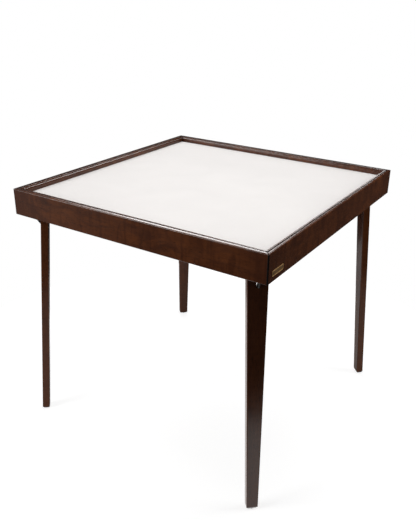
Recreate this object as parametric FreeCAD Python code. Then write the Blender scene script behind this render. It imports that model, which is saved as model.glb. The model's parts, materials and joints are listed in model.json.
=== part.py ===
import FreeCAD, Part
import math
import os

from FreeCAD import Vector

# A square folding table for jigsaw puzzles: a tray with a raised rim on four tapered legs.
# Millimetres. +Z is up, the feet stand on Z = 0 and the Z axis runs through the tray's middle.
# The front rail faces -Y and the right rail faces +X.

# Overall sizes
table_side = 812.8
table_height = 751.0
overrun = 5.0

# Rails: one board on each side, mitred at the corners
rail_height = 76.2
rail_thickness = 17.0
rail_corner_radius = 3.5
rim_crown_radius = 28.0
rim_outer_radius = 2.5
rim_crest_width = 8.5
rim_step_depth = 0.6
rim_inner_radius = 1.0
rail_foot_radius = 2.0

# Inner strips: they trap the edges of the felt
strip_width = 5.5
strip_drop = 4.0
strip_radius = 4.5

# Felt and the panel under it
felt_depth = 17.0
felt_thickness = 1.0
felt_squeezed = 0.6
felt_clearance = 0.3
panel_thickness = 9.5
groove_depth = 6.0
groove_clearance = 0.3

# Corner blocks under the panel
block_thickness = 19.0
block_reach = 92.0

# Legs: flat boards across the diagonal, tapered in width and leaning outward
leg_thickness = 22.5
leg_width_top = 53.6
leg_width_foot = 31.3
leg_edge_radius = 2.5
leg_splay_deg = 4.8
foot_bevel_inset = 4.5
foot_bevel_height = 6.5
pivot_above_rail_foot = 13.0
pivot_from_corner = 58.4
slot_width = 8.5
slot_inner_drop = 86.0
slot_lip = 2.0

# Folded legs: two lie against the panel and the other two cross below them
folded_panel_gap = 2.0
folded_cross_gap = 2.5
folded_side_gap = 2.5

# Shoulder screws that carry the legs
shoulder_radius = 4.0
shoulder_bite = 1.5
pivot_shank_radius = 3.0
pivot_shank_length = 15.0
pivot_head_radius = 6.5
pivot_head_height = 3.0
turning_clearance = 0.05

# Braces: flat straps with a rivet at the top and a sliding pin at the foot
brace_angle_deg = 35.0
brace_length = 62.0
brace_width = 10.0
brace_thickness = 2.5
brace_meets_leg = 36.0
rivet_radius = 2.5
rivet_head_radius = 4.5
rivet_head_height = 1.6

# Hinge brackets: a plate with two ears for the leg and two lugs for the brace
steel_thickness = 2.5
ear_clearance = 0.5
ear_width = 19.0
lug_width = 12.0
lug_clearance = 0.4
bracket_tail = 32.0
bracket_rail_gap = 2.5
bracket_nose = 7.5

# Screws that hold the brackets
screw_radius = 2.0
screw_head_radius = 4.0
screw_head_height = 2.0
screw_length = 15.0
screw_spread = 18.0
screw_tail_inset = 8.0
screw_front_gap = 5.5

# Glides under the feet
glide_radius = 6.5
glide_height = 2.0
glide_nail_radius = 1.2
glide_nail_length = 14.0

# Name plate on the right rail
plate_length = 52.0
plate_height = 13.5
plate_base = 0.7
plate_border_height = 0.5
plate_border_width = 1.2
plate_from_corner = 20.5
plate_above_rail_foot = 14.8
plate_pin_inset = 4.5
plate_pin_radius = 0.7
plate_pin_head_radius = 1.4
plate_pin_head_height = 0.6
plate_pin_length = 7.0

# Places worked out from the sizes
half_side = table_side / 2
rail_foot = table_height - rail_height
felt_top = table_height - felt_depth
panel_top = felt_top - felt_thickness
panel_underside = panel_top - panel_thickness
strip_foot = panel_top + felt_squeezed
strip_top = table_height - strip_drop
inner_half = half_side - rail_thickness
block_underside = panel_underside - block_thickness
bracket_underside = block_underside - steel_thickness
pivot_height = rail_foot + pivot_above_rail_foot

# Along the diagonal, measured outward from the table's middle
root_two = math.sqrt(2)
inner_corner = inner_half * root_two
pivot_reach = inner_corner - pivot_from_corner
splay = math.radians(leg_splay_deg)
foot_reach = pivot_reach + pivot_height * math.tan(splay)
leg_length = pivot_height / math.cos(splay)
leg_taper = (leg_width_top - leg_width_foot) / leg_length

# The brace leaves the leg's outer face and climbs towards the corner
brace_angle = math.radians(brace_angle_deg)
face_meets = rail_foot - brace_meets_leg
pin_height = (face_meets + brace_width / 2 / math.sin(brace_angle)
              - leg_thickness / 2 / math.tan(brace_angle))
pin_reach = foot_reach - pin_height * math.tan(splay)
rivet_reach = pin_reach + brace_length * math.sin(brace_angle)
rivet_height = pin_height + brace_length * math.cos(brace_angle)

# Folded legs lie side by side in pairs, so each corner's hardware is turned clockwise by a small yaw
width_at_middle = leg_width_top - leg_taper * pivot_reach
side_gap = width_at_middle + folded_side_gap
yaw = math.atan(side_gap / 2 / pivot_reach)
rise_high = (panel_underside - folded_panel_gap - leg_thickness / 2 - pivot_height) / leg_length
cross_reach = pivot_reach - side_gap
rise_low = (leg_thickness + folded_cross_gap) / cross_reach - rise_high
fold_high = math.pi / 2 + splay + math.atan(rise_high)
fold_low = math.pi / 2 + splay - math.atan(rise_low)

# Turns about the Z axis: each side from the front, and each corner from the side before it
eighth_turn_deg = 45.0
SIDE_DEG = {
    "front": 0.0,
    "right": 90.0,
    "back": 180.0,
    "left": -90.0,
}
CORNER_DEG = {
    "front_right": SIDE_DEG["front"] - eighth_turn_deg,
    "back_right": SIDE_DEG["right"] - eighth_turn_deg,
    "back_left": SIDE_DEG["back"] - eighth_turn_deg,
    "front_left": SIDE_DEG["left"] - eighth_turn_deg,
}

up = Vector(0, 0, 1)
centre = Vector(0, 0, 0)


def box(x_low, x_high, y_low, y_high, z_low, z_high):
    """A box between two corners."""
    corner = Vector(x_low, y_low, z_low)
    return Part.makeBox(x_high - x_low, y_high - y_low, z_high - z_low, corner)


def turned(shape, degrees):
    """A copy turned about the table's middle."""
    copy = shape.copy()
    copy.rotate(centre, up, degrees)
    return copy


def at_corner(shape, degrees):
    """Place a piece that was made on the diagonal, with the hardware's small yaw."""
    copy = shape.copy()
    copy.rotate(Vector(pivot_reach, 0, 0), up, -math.degrees(yaw))
    return turned(copy, degrees)


def prism(points, direction):
    """A flat outline of straight edges, pushed along a direction."""
    wire = Part.makePolygon(points + [points[0]])
    return Part.Face(wire).extrude(direction)


def tapered(low_ring, high_ring):
    """A solid with flat sides between two rings of corners."""
    outlines = [low_ring, high_ring]
    for index, corner in enumerate(low_ring):
        outlines.append([low_ring[index - 1], corner, high_ring[index], high_ring[index - 1]])
    faces = [Part.Face(Part.makePolygon(outline + [outline[0]])) for outline in outlines]
    return Part.makeSolid(Part.makeShell(faces))


def edges_near(shape, wanted):
    """The edges whose middle point passes a test."""
    return [edge for edge in shape.Edges if wanted(edge.CenterOfMass)]


def across(reach, height, radius, y_low, y_high):
    """A round bar that lies across the diagonal."""
    start = Vector(reach, y_low, height)
    return Part.makeCylinder(radius, y_high - y_low, start, Vector(0, 1, 0))


def strap(ends, width, y_low, y_high):
    """A flat bar in the plane of the diagonal, with a round end at each of two points."""
    (reach_a, height_a), (reach_b, height_b) = ends
    radius = width / 2
    along = Vector(reach_b - reach_a, 0, height_b - height_a)
    side = Vector(along.z, 0, -along.x).normalize() * radius
    low = Vector(reach_a, y_low, height_a)
    high = Vector(reach_b, y_low, height_b)
    bar = prism([low + side, high + side, high - side, low - side], Vector(0, y_high - y_low, 0))
    for reach, height in ends:
        bar = bar.fuse(across(reach, height, radius, y_low, y_high))
    return bar.removeSplitter()


def mitred(profile, inset):
    """A front piece with the given section (distance from the outer face, height), cut at 45 degrees."""
    points = [Vector(-half_side, inset_y - half_side, height) for inset_y, height in profile]
    bar = prism(points, Vector(table_side, 0, 0))
    outer = half_side - inset
    plan = [Vector(-outer, -outer, 0), Vector(outer, -outer, 0), Vector(0, 0, 0)]
    return bar.common(prism(plan, Vector(0, 0, table_height + overrun)))


def rail_front():
    """The front rail: crowned crest, a small step down to a shelf, and the groove for the panel."""
    shelf = table_height - rim_step_depth
    groove = rail_thickness - groove_depth - groove_clearance
    profile = [
        (0, rail_foot),
        (0, table_height),
        (rim_crest_width, table_height),
        (rim_crest_width, shelf),
        (rail_thickness, shelf),
        (rail_thickness, panel_top),
        (groove, panel_top),
        (groove, panel_underside),
        (rail_thickness, panel_underside),
        (rail_thickness, rail_foot),
    ]
    rail = mitred(profile, 0).cut(above_crown())
    outer_top = edges_near(rail, lambda p: p.z > panel_top
                           and p.y < rim_outer_radius / 2 - half_side and abs(p.x) < rail_thickness)
    rail = rail.makeFillet(rim_outer_radius, outer_top)
    inner_top = edges_near(rail, lambda p: abs(p.z - shelf) < rim_step_depth / 2
                           and p.y > -inner_half - rim_inner_radius / 2 and abs(p.x) < rail_thickness)
    rail = rail.makeFillet(rim_inner_radius, inner_top)
    foot = edges_near(rail, lambda p: p.z < rail_foot + rail_foot_radius / 2 and abs(p.x) < rail_thickness)
    rail = rail.makeFillet(rail_foot_radius, foot)
    return rail.common(rounded_outline())


def above_crown():
    """What the crest's gentle curve takes off a square-edged front rail."""
    crest = rim_crest_width - half_side
    square = box(-half_side, half_side, -half_side, crest, strip_top, table_height)
    axis = Vector(-half_side, crest, table_height - rim_crown_radius)
    return square.cut(Part.makeCylinder(rim_crown_radius, table_side, axis, Vector(1, 0, 0)))


def rounded_outline():
    """The table's outline with eased corners, tall enough to trim every rail."""
    block = box(-half_side, half_side, -half_side, half_side, 0, table_height + overrun)
    uprights = edges_near(block, lambda p: abs(p.x) > inner_half and abs(p.y) > inner_half)
    return block.makeFillet(rail_corner_radius, uprights)


def strip_front():
    """The front inner strip, which presses on the felt's edge, against the rail."""
    profile = [
        (rail_thickness, strip_foot),
        (rail_thickness, strip_top),
        (rail_thickness + strip_width, strip_top),
        (rail_thickness + strip_width, strip_foot),
    ]
    strip = mitred(profile, rail_thickness)
    crest = edges_near(strip, lambda p: p.z > strip_top - strip_radius / 2
                       and p.y > strip_width / 2 - inner_half and abs(p.x) < strip_width)
    return strip.makeFillet(strip_radius, crest)


def panel():
    """The board under the felt; its edges sit in the rails' grooves."""
    reach = inner_half + groove_depth
    return box(-reach, reach, -reach, reach, panel_underside, panel_top)


def felt():
    """The felt, laid on the panel, with its edge squeezed flat under the strips."""
    edge = inner_half - felt_clearance
    squeezed = box(-edge, edge, -edge, edge, panel_top, strip_foot)
    field = inner_half - strip_width - felt_clearance
    return squeezed.fuse(box(-field, field, -field, field, panel_top, felt_top)).removeSplitter()


def screw_places():
    """Where the four screws of a bracket go: distance along the diagonal and across it."""
    tail = pivot_reach - bracket_tail + screw_tail_inset
    front = pivot_reach + leg_thickness / 2 + screw_front_gap
    return [(tail, -screw_spread), (tail, screw_spread), (front, -screw_spread), (front, screw_spread)]


def screws():
    """Four countersunk screws, driven up through the bracket into the block."""
    bodies = []
    for reach, offset in screw_places():
        base = Vector(reach, offset, bracket_underside)
        head = Part.makeCone(screw_head_radius, screw_radius, screw_head_height, base, up)
        shank = Part.makeCylinder(screw_radius, screw_length, base, up)
        bodies.append(head.fuse(shank).removeSplitter())
    return Part.makeCompound(bodies)


def bracket_plan():
    """Outline of the bracket's plate: straight sides, then a nose that follows the corner."""
    half = bracket_half_width()
    tail = pivot_reach - bracket_tail
    nose = rivet_reach + bracket_nose
    shoulder = inner_corner - bracket_rail_gap - half
    tip = inner_corner - bracket_rail_gap - nose
    return [(tail, -half), (shoulder, -half), (nose, -tip), (nose, tip), (shoulder, half), (tail, half)]


def bracket_half_width():
    """From the diagonal to the outer face of an ear."""
    return leg_width_top / 2 + ear_clearance + steel_thickness


def bracket():
    """Plate, two ears for the leg and two lugs for the brace, bent from one sheet."""
    points = [Vector(reach, offset, bracket_underside) for reach, offset in bracket_plan()]
    body = prism(points, Vector(0, 0, steel_thickness))
    ear_out = bracket_half_width()
    lug_in = brace_thickness / 2 + lug_clearance
    for side in (-1, 1):
        ear_low, ear_high = sorted((side * ear_out, side * (ear_out - steel_thickness)))
        body = body.fuse(hanger(pivot_reach, pivot_height, ear_width, ear_low, ear_high))
        lug_low, lug_high = sorted((side * lug_in, side * (lug_in + steel_thickness)))
        body = body.fuse(hanger(rivet_reach, rivet_height, lug_width, lug_low, lug_high))
    hole_radius = shoulder_radius + turning_clearance
    body = body.cut(across(pivot_reach, pivot_height, hole_radius, -ear_out, ear_out))
    body = body.cut(across(rivet_reach, rivet_height, rivet_radius, -ear_out, ear_out))
    return body.cut(screws()).removeSplitter()


def hanger(reach, height, width, y_low, y_high):
    """A flat ear that hangs from the plate and ends round its hole."""
    top = bracket_underside + steel_thickness
    blade = box(reach - width / 2, reach + width / 2, y_low, y_high, height, top)
    return blade.fuse(across(reach, height, width / 2, y_low, y_high))


def upright_leg():
    """The leg before it leans: top end round the pivot, tapered sides, eased long edges."""
    below = leg_length + leg_thickness
    half_top = leg_width_top / 2
    half_low = half_top - leg_taper * below / 2
    half_crest = half_top + leg_taper * leg_thickness / 4
    reach = pivot_reach
    crest = pivot_height + leg_thickness / 2
    front = [Vector(reach - leg_thickness / 2, -half_crest, crest),
             Vector(reach - leg_thickness / 2, half_crest, crest),
             Vector(reach - leg_thickness / 2, half_low, pivot_height - below),
             Vector(reach - leg_thickness / 2, -half_low, pivot_height - below)]
    board = prism(front, Vector(leg_thickness, 0, 0))
    long_edges = edges_near(board, lambda p: abs(p.z - (crest + pivot_height - below) / 2) < leg_thickness)
    board = board.makeFillet(leg_edge_radius, long_edges)
    low = pivot_height - below
    side_view = box(reach - leg_thickness / 2, reach + leg_thickness / 2, -half_crest, half_crest,
                    low, pivot_height)
    side_view = side_view.fuse(across(reach, pivot_height, leg_thickness / 2, -half_crest, half_crest))
    return board.common(side_view).common(foot_taper())


def foot_taper():
    """A pyramid that stands on its point at the foot and bevels the leg's end all round."""
    growth = foot_bevel_inset / foot_bevel_height
    height = leg_length + leg_thickness
    low = pivot_height - leg_length
    rings = []
    for rise in (0, height):
        spread = growth * (rise - glide_height) - foot_bevel_inset
        half_depth = leg_thickness / 2 + spread
        half_width = leg_width_foot / 2 + spread
        rings.append([Vector(pivot_reach - half_depth, -half_width, low + rise),
                      Vector(pivot_reach + half_depth, -half_width, low + rise),
                      Vector(pivot_reach + half_depth, half_width, low + rise),
                      Vector(pivot_reach - half_depth, half_width, low + rise)])
    return tapered(*rings)


def leg():
    """One leg with its slot, its screw holes and its bevelled foot."""
    body = upright_leg()
    body.rotate(Vector(pivot_reach, 0, pivot_height), Vector(0, 1, 0), -leg_splay_deg)
    body = body.cut(leg_slot()).cut(pivot_screws())
    far = foot_reach + leg_thickness + overrun
    floor = box(pivot_reach, far, -leg_width_top, leg_width_top, -leg_thickness - overrun, glide_height)
    return body.cut(floor).cut(glide())


def leg_slot():
    """The saw cut for the brace: open at the top, with a floor that slopes down to the inner face."""
    half_depth = leg_thickness / 2 / math.cos(splay)
    outer_end = face_meets - slot_lip
    inner_end = rail_foot - slot_inner_drop
    outer_reach = foot_reach - outer_end * math.tan(splay) + half_depth
    inner_reach = foot_reach - inner_end * math.tan(splay) - half_depth
    slope = (outer_end - inner_end) / (outer_reach - inner_reach)
    near = inner_reach - leg_thickness
    far = outer_reach + leg_thickness
    top = outer_end + (far - outer_reach) * slope + leg_thickness
    side = [Vector(near, -slot_width / 2, inner_end + (near - inner_reach) * slope),
            Vector(far, -slot_width / 2, outer_end + (far - outer_reach) * slope),
            Vector(far, -slot_width / 2, top),
            Vector(near, -slot_width / 2, top)]
    return prism(side, Vector(0, slot_width, 0))


def pivot_screws():
    """Two shoulder screws on one line: head outside the ear, shoulder in it, shank in the leg."""
    face = leg_width_top / 2
    seat = bracket_half_width() + turning_clearance
    bodies = []
    for side in (-1, 1):
        spans = [(pivot_head_radius, seat, seat + pivot_head_height),
                 (shoulder_radius, face - shoulder_bite, seat),
                 (pivot_shank_radius, face - shoulder_bite - pivot_shank_length, face - shoulder_bite)]
        parts = []
        for radius, start, end in spans:
            low, high = sorted((side * start, side * end))
            parts.append(across(pivot_reach, pivot_height, radius, low, high))
        bodies.append(parts[0].fuse(parts[1:]).removeSplitter())
    return Part.makeCompound(bodies)


def brace():
    """The strap with its two holes."""
    half = brace_thickness / 2
    bar = strap([(pin_reach, pin_height), (rivet_reach, rivet_height)], brace_width, -half, half)
    bar = bar.cut(across(rivet_reach, rivet_height, rivet_radius + turning_clearance, -half, half))
    return bar.cut(across(pin_reach, pin_height, rivet_radius, -half, half))


def headed_pin(reach, height, grip):
    """A pin across the diagonal with a head at each end of its grip."""
    half = grip / 2
    pin = across(reach, height, rivet_radius, -half, half)
    left = across(reach, height, rivet_head_radius, -half - rivet_head_height, -half)
    right = across(reach, height, rivet_head_radius, half, half + rivet_head_height)
    return pin.fuse([left, right]).removeSplitter()


def brace_rivet():
    """The rivet through the bracket's two lugs, on which the brace turns."""
    return headed_pin(rivet_reach, rivet_height, brace_thickness + 2 * (lug_clearance + steel_thickness))


def slot_pin():
    """The pin at the brace's foot, which slides in the leg's slot."""
    return headed_pin(pin_reach, pin_height, brace_thickness)


def glide():
    """A flat round glide with its nail, driven into the end of the leg."""
    reach = foot_reach - glide_height * math.tan(splay)
    disc = Part.makeCylinder(glide_radius, glide_height, Vector(reach, 0, 0), up)
    nail = Part.makeCylinder(glide_nail_radius, glide_nail_length, Vector(reach, 0, glide_height), up)
    return disc.fuse(nail).removeSplitter()


def plate_box(inset, x_low, x_high):
    """A box in the name plate's place, smaller by an inset all round."""
    y_low = plate_from_corner - half_side
    z_low = rail_foot + plate_above_rail_foot
    return box(x_low, x_high, y_low + inset, y_low + plate_length - inset,
               z_low + inset, z_low + plate_height - inset)


def plate_pins():
    """The two pins that hold the name plate."""
    floor = half_side + plate_base
    height = rail_foot + plate_above_rail_foot + plate_height / 2
    bodies = []
    for along in (plate_pin_inset, plate_length - plate_pin_inset):
        y = plate_from_corner - half_side + along
        place = Vector(floor, y, height)
        head = Part.makeCylinder(plate_pin_head_radius, plate_pin_head_height, place, Vector(1, 0, 0))
        shank = Part.makeCylinder(plate_pin_radius, plate_pin_length, place, Vector(-1, 0, 0))
        bodies.append(head.fuse(shank).removeSplitter())
    return Part.makeCompound(bodies)


def name_plate():
    """A bare plate with a raised border."""
    whole = plate_box(0, half_side, half_side + plate_base + plate_border_height)
    field = plate_box(plate_border_width, half_side + plate_base, half_side + plate_base + overrun)
    return whole.cut(field).cut(plate_pins())


def corner_pieces():
    """The hardware of one corner, made on the diagonal."""
    return {
        "leg": leg(),
        "pivot_screws": pivot_screws(),
        "foot_glide": glide(),
        "hinge_bracket": bracket(),
        "bracket_screws": screws(),
        "brace_rivet": brace_rivet(),
        "brace": brace(),
        "slot_pin": slot_pin(),
    }


def table_pieces():
    """Every node by name."""
    pieces = {
        "panel": panel(),
        "felt_surface": felt(),
        "name_plate": name_plate(),
        "name_plate_pins": plate_pins(),
    }
    rail = rail_front()
    strip = strip_front()
    for side, degrees in SIDE_DEG.items():
        pieces["rail_" + side] = turned(rail, degrees)
        pieces["inner_strip_" + side] = turned(strip, degrees)
    pieces["rail_right"] = pieces["rail_right"].cut(plate_pins())
    hardware = corner_pieces()
    for corner, degrees in CORNER_DEG.items():
        pieces["corner_block_" + corner] = corner_block(degrees)
        for name, shape in hardware.items():
            pieces[name + "_" + corner] = at_corner(shape, degrees)
    return pieces


def corner_block(degrees):
    """A triangular block glued into a corner, square to the rails; its holes follow the bracket's yaw."""
    near = inner_corner - block_reach
    plan = [Vector(inner_corner, 0, block_underside),
            Vector(near, block_reach, block_underside),
            Vector(near, -block_reach, block_underside)]
    block = turned(prism(plan, Vector(0, 0, block_thickness)), degrees)
    return block.cut(at_corner(screws(), degrees))


def point_at_corner(reach, height, degrees):
    """A point of the hardware on the diagonal, in the table's frame, in metres."""
    vertex = at_corner(Part.Vertex(Vector(reach, 0, height)), degrees)
    point = vertex.Vertexes[0].Point
    return [round(value / 1000, 6) for value in point]


def brace_turn(fold, rise):
    """How far the brace turns while its leg folds: the pin ends on the folded leg's middle line."""
    start = math.atan2(rivet_reach - pin_reach, rivet_height - pin_height)
    # Distance from the rivet to the folded leg's line, which passes through the pivot
    offset = (rivet_height - pivot_height) + (rivet_reach - pivot_reach) * rise
    end = math.pi / 2 - math.asin(offset * math.cos(math.atan(rise)) / brace_length) + math.atan(rise)
    return end - start


def print_motion():
    """Numbers for the record: hinge places, axes, ranges and the braces' ratios."""
    print("fold_high_deg", round(math.degrees(fold_high), 3))
    print("fold_low_deg", round(math.degrees(fold_low), 3))
    print("yaw_deg", round(math.degrees(yaw), 4))
    sole_reach = foot_reach - glide_height * math.tan(splay)
    print("glide_sole", point_at_corner(sole_reach, 0, CORNER_DEG["front_right"]))
    turn_high = brace_turn(fold_high, rise_high)
    turn_low = brace_turn(fold_low, -rise_low)
    print("ratio_high", round(turn_high / fold_high, 5), "ratio_low", round(turn_low / fold_low, 5))
    for corner, degrees in CORNER_DEG.items():
        angle = math.radians(degrees) - yaw
        axis = [round(-math.sin(angle), 6), round(math.cos(angle), 6), 0]
        print(corner, "leg", point_at_corner(pivot_reach, pivot_height, degrees),
              "brace", point_at_corner(rivet_reach, rivet_height, degrees), "axis", axis)


os.makedirs("parts", exist_ok=True)
for node, shape in table_pieces().items():
    shape.exportStep("parts/" + node + ".step")
print_motion()
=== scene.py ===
"""A folding table for jigsaw puzzles: finishes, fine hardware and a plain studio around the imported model.

Laid out as an add-on and run as a script. Lengths are in metres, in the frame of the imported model:
+Z is up, the front rail faces -Y and the rail with the name plate faces +X.
"""
import json
import math

import bmesh
import bpy
from bpy.props import FloatProperty, FloatVectorProperty, PointerProperty
from mathutils import Matrix, Vector


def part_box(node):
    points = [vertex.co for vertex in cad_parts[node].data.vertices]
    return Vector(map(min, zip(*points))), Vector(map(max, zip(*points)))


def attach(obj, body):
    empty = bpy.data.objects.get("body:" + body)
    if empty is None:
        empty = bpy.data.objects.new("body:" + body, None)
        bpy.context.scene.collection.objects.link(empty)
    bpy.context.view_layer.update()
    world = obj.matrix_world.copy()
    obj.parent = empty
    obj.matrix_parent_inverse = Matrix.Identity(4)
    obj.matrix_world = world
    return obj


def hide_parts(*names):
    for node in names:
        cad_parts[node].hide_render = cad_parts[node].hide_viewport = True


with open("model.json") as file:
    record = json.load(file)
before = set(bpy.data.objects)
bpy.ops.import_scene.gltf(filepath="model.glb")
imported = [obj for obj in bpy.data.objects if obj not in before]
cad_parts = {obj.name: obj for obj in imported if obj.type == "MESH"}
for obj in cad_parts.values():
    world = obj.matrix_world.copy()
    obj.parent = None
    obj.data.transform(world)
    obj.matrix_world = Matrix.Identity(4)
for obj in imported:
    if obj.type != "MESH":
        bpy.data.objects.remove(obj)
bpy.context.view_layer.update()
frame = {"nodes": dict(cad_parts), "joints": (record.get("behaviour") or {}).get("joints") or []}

bl_info = {
    "name": "Folding Puzzle Table",
    "version": (1, 0, 0),
    "blender": (4, 5, 0),
    "location": "3D View > Sidebar > Puzzle Table",
    "description": "Builds the finishes and the fine hardware of a folding puzzle table",
    "category": "Object",
}

MM = 0.001
UP = Vector((0, 0, 1))
FULL_TURN = 2 * math.pi
CORNERS = ("front_right", "back_right", "back_left", "front_left")
SIDE_TURN = {"front": 0, "right": math.pi / 2, "back": math.pi, "left": -math.pi / 2}
JOINTS = {joint["name"]: joint for joint in frame["joints"]}
WELD = 2e-6  # points closer than this are one point


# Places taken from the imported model

def packed(node):
    return frame["nodes"][node]


def low(node):
    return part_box(node)[0]


def high(node):
    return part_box(node)[1]


def middle(node):
    return (low(node) + high(node)) / 2


def hinge(part):
    """The point and axis of the joint of a leg or brace."""
    joint = JOINTS[part + "_hinge"]
    return Vector(joint["pos_m"]), Vector(joint["axis"])


def outward(corner):
    """The level direction from the table's middle to a corner, square to the corner's hinge axis."""
    point, axis = hinge("leg_" + corner)
    way = axis.cross(UP)
    return way if way.dot(point) > 0 else -way


def leg_slope(corner):
    """The direction from a foot up to its hinge."""
    foot = middle("foot_glide_" + corner)
    foot.z = low("foot_glide_" + corner).z
    return (hinge("leg_" + corner)[0] - foot).normalized()


# Sizes and colours that a user would change

def length(name, description, default):
    return FloatProperty(name=name, description=description, default=default, min=0, unit="LENGTH")


def tint(name, description, default):
    return FloatVectorProperty(name=name, description=description, default=default,
                               subtype="COLOR", min=0, max=1)


class PuzzleTableSizes(bpy.types.PropertyGroup):
    felt_ripple: length("Felt ripple", "Height of the felt's gentle unevenness", 0.25 * MM)
    felt_squeeze: length("Felt squeeze", "How far the strips press the felt's edge down", 0.4 * MM)
    felt_roll: length("Felt roll", "Width of the felt's rounded edge beside the strips", 2.0 * MM)
    steel_edge: length("Steel edge", "Radius of the eased edges of the brackets and braces", 0.35 * MM)
    plate_corner: length("Plate corner", "Corner radius of the name plate", 1.3 * MM)
    plate_border: length("Plate border", "Width of the name plate's raised border", 1.2 * MM)
    drive_width: length("Drive width", "Width of the cross slots in the bracket screws", 0.9 * MM)
    socket_radius: length("Socket radius", "Radius of the six-sided sockets in the leg screws", 2.3 * MM)


class PuzzleTableColours(bpy.types.PropertyGroup):
    stain: tint("Stain", "Dark brown stain of the rails and legs", (0.105, 0.033, 0.0120))
    stain_dark: tint("Dark stain", "Stain where the grain drinks it up", (0.045, 0.012, 0.0045))
    stain_warm: tint("Warm stain", "Reddish patches of the stain", (0.155, 0.045, 0.012))
    stain_worn: tint("Rubbed stain", "Stain on rubbed edges", (0.19, 0.075, 0.032))
    felt: tint("Felt", "Off-white felt", (0.90, 0.87, 0.852))
    board: tint("Board", "Plain board under the felt", (0.24, 0.145, 0.078))
    block: tint("Blocks", "Plain wood of the corner blocks", (0.33, 0.19, 0.095))
    brass: tint("Brass", "Aged brass of the name plate", (0.36, 0.20, 0.085))
    steel: tint("Steel", "Zinc-plated steel", (0.60, 0.60, 0.58))
    glide: tint("Glides", "Brown plastic of the glides", (0.035, 0.022, 0.016))
    floor: tint("Floor", "Pale studio floor", (0.42, 0.42, 0.42))


def sizes():
    return bpy.context.scene.puzzle_table_sizes


def colour(name):
    """One of the user's colours, with its alpha."""
    return (*getattr(bpy.context.scene.puzzle_table_colours, name), 1.0)


def toned(shade, factor):
    """A colour made darker or lighter."""
    return tuple(min(1.0, value * factor) for value in shade[:3]) + (1.0,)


# Shader nodes

def empty_tree(owner):
    """The node tree of a material or world, switched on and emptied."""
    owner.use_nodes = True
    owner.node_tree.nodes.clear()
    return owner.node_tree


def feed(tree, node, inputs):
    """Set a node's inputs; each gets a value or the socket that feeds it."""
    for name, value in dict(inputs).items():
        if isinstance(value, bpy.types.NodeSocket):
            tree.links.new(value, node.inputs[name])
        else:
            node.inputs[name].default_value = value


def put(tree, kind, inputs=(), **settings):
    """Add a node with its settings and inputs."""
    made = tree.nodes.new(kind)
    for name, value in settings.items():
        setattr(made, name, value)
    feed(tree, made, inputs)
    return made


def sums(tree, operation, first, second=0.0):
    """One Math node."""
    return put(tree, "ShaderNodeMath", {0: first, 1: second}, operation=operation).outputs[0]


def times(tree, first, second):
    return sums(tree, "MULTIPLY", first, second)


def dot(tree, first, second):
    """One Vector Math node: how far one vector reaches along another."""
    made = put(tree, "ShaderNodeVectorMath", {0: first, 1: second}, operation="DOT_PRODUCT")
    return made.outputs["Value"]


def apart(tree, vector):
    """The X, Y and Z of a vector."""
    return put(tree, "ShaderNodeSeparateXYZ", {"Vector": vector}).outputs


def blend(tree, factor, first, second):
    """One Mix node set to colours, whose colour inputs have the numbers 6 and 7."""
    return put(tree, "ShaderNodeMix", {"Factor": factor, 6: first, 7: second}, data_type="RGBA").outputs[2]


def spread(tree, value, from_low, from_high, to_low=0.0, to_high=1.0):
    """Map a range of values to another, clamped."""
    return put(tree, "ShaderNodeMapRange",
               {"Value": value, "From Min": from_low, "From Max": from_high,
                "To Min": to_low, "To Max": to_high}).outputs["Result"]


def noise(tree, vector, scale, detail=2.0, roughness=0.5, distortion=0.0):
    """One Noise Texture node, its value output."""
    return put(tree, "ShaderNodeTexNoise",
               {"Vector": vector, "Scale": scale, "Detail": detail, "Roughness": roughness,
                "Distortion": distortion}).outputs["Fac"]


def stretched(tree, vector, scale):
    """Coordinates scaled along each axis."""
    return put(tree, "ShaderNodeMapping", {"Vector": vector, "Scale": scale}).outputs["Vector"]


def new_group(name, numbers, outputs):
    """A shader node group: its tree, the sockets of its inputs, and its output node.

    Its inputs are a Vector and numbers with their first values, and it puts out numbers.
    """
    tree = bpy.data.node_groups.new(name, "ShaderNodeTree")
    tree.interface.new_socket(name="Vector", in_out="INPUT", socket_type="NodeSocketVector")
    for socket, value in numbers.items():
        made = tree.interface.new_socket(name=socket, in_out="INPUT", socket_type="NodeSocketFloat")
        made.default_value = value
    for socket in outputs:
        tree.interface.new_socket(name=socket, in_out="OUTPUT", socket_type="NodeSocketFloat")
    return tree, tree.nodes.new("NodeGroupInput").outputs, tree.nodes.new("NodeGroupOutput")


def finish_group(tree, end, **results):
    feed(tree, end, results)
    return tree


def wood_grain_group():
    """Streaks, fine fibres and pores that run along X, patches of stain, and a figure that runs across."""
    tree, start, end = new_group(
        "Wood Grain", {"Streak Scale": 45.0, "Fibre Scale": 650.0},
        ("Streaks", "Fibres", "Pores", "Cloud", "Mottle", "Figure"))
    vector = start["Vector"]
    wavy = stretched(tree, vector, (0.09, 1.0, 1.0))
    streaks = noise(tree, wavy, start["Streak Scale"], 4.0, 0.6, 0.9)
    fine = stretched(tree, vector, (0.035, 1.0, 1.0))
    fibres = noise(tree, fine, start["Fibre Scale"], 2.0, 0.6)
    short = stretched(tree, vector, (0.11, 1.0, 1.0))
    pores = noise(tree, short, times(tree, start["Fibre Scale"], 1.4), 1.0)
    cloud = noise(tree, stretched(tree, vector, (0.55, 1.0, 1.0)), 11.0, 3.0, 0.55, 0.4)
    mottle = noise(tree, stretched(tree, vector, (0.3, 1.0, 1.0)), 38.0, 3.0, 0.6, 0.8)
    figure = noise(tree, stretched(tree, vector, (1.0, 0.25, 0.25)), 62.0, 2.0, 0.5, 0.6)
    return finish_group(
        tree, end, Streaks=spread(tree, streaks, 0.32, 0.68), Fibres=fibres,
        Pores=spread(tree, pores, 0.62, 0.72), Cloud=spread(tree, cloud, 0.3, 0.7),
        Mottle=spread(tree, mottle, 0.36, 0.66), Figure=spread(tree, figure, 0.46, 0.66))


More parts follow.
